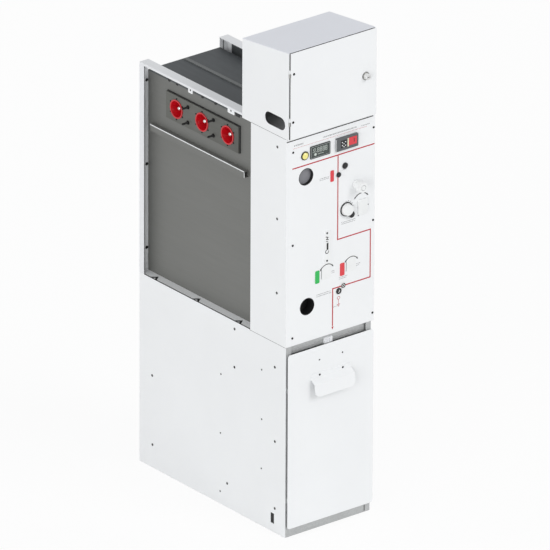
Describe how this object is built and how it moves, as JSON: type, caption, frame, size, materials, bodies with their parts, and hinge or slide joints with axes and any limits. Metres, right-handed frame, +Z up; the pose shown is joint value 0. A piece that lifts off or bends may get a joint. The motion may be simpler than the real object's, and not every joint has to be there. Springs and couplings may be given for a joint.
{
  "type": "ring main unit",
  "caption": "Free-standing medium-voltage switchgear cubicle with a gas tank, side busbar bushings, mimic panel, low-voltage box and cable compartment cover.",
  "frame": {"origin": "centre of the unit's footprint, on the floor", "axes": "+Z up, the operating panel faces -Y, +X to the right of someone facing it"},
  "size_m": [0.424, 0.926, 1.968],
  "materials": {
    "white_paint": "powder-coated sheet, satin, light orange peel",
    "roof_paint": "powder-coated sheet, satin",
    "galvanised": "galvanised steel, matt with faint spangle",
    "stainless": "stainless tank sheet, fine brushed satin",
    "tank_roof": "dark stainless sheet, satin",
    "rail_paint": "powder-coated sheet, satin",
    "red_epoxy": "cast red epoxy, semi-gloss",
    "bright_metal": "bright plated metal",
    "zinc": "zinc-plated screws",
    "dial": "satin dial",
    "black_plastic": "matt black moulding",
    "display_frame": "dark moulded frame",
    "relay_case": "dark grey moulded case",
    "yellow_lens": "yellow lens",
    "red_flag": "red indicator window",
    "green_flag": "green indicator window",
    "white_plastic": "white moulding"
  },
  "bodies": {
    "cubicle": {"plinth": "galvanised", "left_side_panel": "white_paint", "right_side_panel": "white_paint", "rear_panel": "white_paint", "front_post_left": "galvanised", "front_post_right": "galvanised", "cover_head_rail": "galvanised", "cover_catch": "galvanised", "cover_hangers": "galvanised", "tank_walls": "stainless", "tank_top": "tank_roof", "tank_floor": "stainless", "ledge_left": "white_paint", "ledge_right": "white_paint", "rear_post_left": "rail_paint", "rear_post_right": "rail_paint", "top_rail_left": "rail_paint", "top_rail_right": "rail_paint", "bushing_plate_left": "stainless", "bushing_plate_right": "stainless", "bushings_left": "red_epoxy", "bushings_right": "red_epoxy", "busbar_contacts_left": "bright_metal", "busbar_contacts_right": "bright_metal", "plate_studs_left": "zinc", "plate_studs_right": "zinc", "channel_rail_left": "stainless", "channel_rail_right": "stainless", "side_screws_left": "zinc", "side_screws_right": "zinc", "mechanism_housing": "white_paint", "operating_panel": "white_paint", "gas_gauge": "dial", "test_socket": "black_plastic", "display_unit": "display_frame", "protection_relay": "relay_case", "signal_lamp": "yellow_lens", "lamp_bezel": "black_plastic", "push_buttons": "black_plastic", "position_flags_red": "red_flag", "position_flag_green": "green_flag", "access_shutters": "white_plastic", "key_strip": "white_plastic", "lower_bezel": "black_plastic", "lv_box": "white_paint", "lv_roof": "roof_paint", "lv_hinges": "zinc"},
    "upper_knob": {"upper_knob": "white_plastic"},
    "lower_disc": {"lower_disc": "white_plastic"},
    "lv_door": {"lv_door": "white_paint", "lv_lock_rosette": "zinc"},
    "lv_lock": {"lv_lock": "bright_metal"},
    "cable_cover": {"cable_cover": "white_paint", "cover_handle": "white_paint"}
  },
  "joints": [
    {"name": "lv_door_hinge", "type": "hinge", "parent": "cubicle", "child": "lv_door", "pos_m": [-0.206, -0.4295, 1.79], "axis": [0, 0, -1], "range_deg": [0, 110]},
    {"name": "lv_lock_turn", "type": "hinge", "parent": "lv_door", "child": "lv_lock", "pos_m": [0.15, -0.433, 1.786], "axis": [0, 1, 0], "range_deg": [0, 90]},
    {"name": "cover_pull", "type": "slide", "parent": "cubicle", "child": "cable_cover", "axis": [0, -1, 0], "range_m": [0, 0.25]},
    {"name": "upper_knob_turn", "type": "hinge", "parent": "cubicle", "child": "upper_knob", "pos_m": [0.12, -0.417, 1.352], "axis": [0, 1, 0], "range_deg": [0, 90]},
    {"name": "lower_disc_turn", "type": "hinge", "parent": "cubicle", "child": "lower_disc", "pos_m": [0.074, -0.417, 1.264], "axis": [0, 1, 0], "range_deg": [0, 90]}
  ]
}
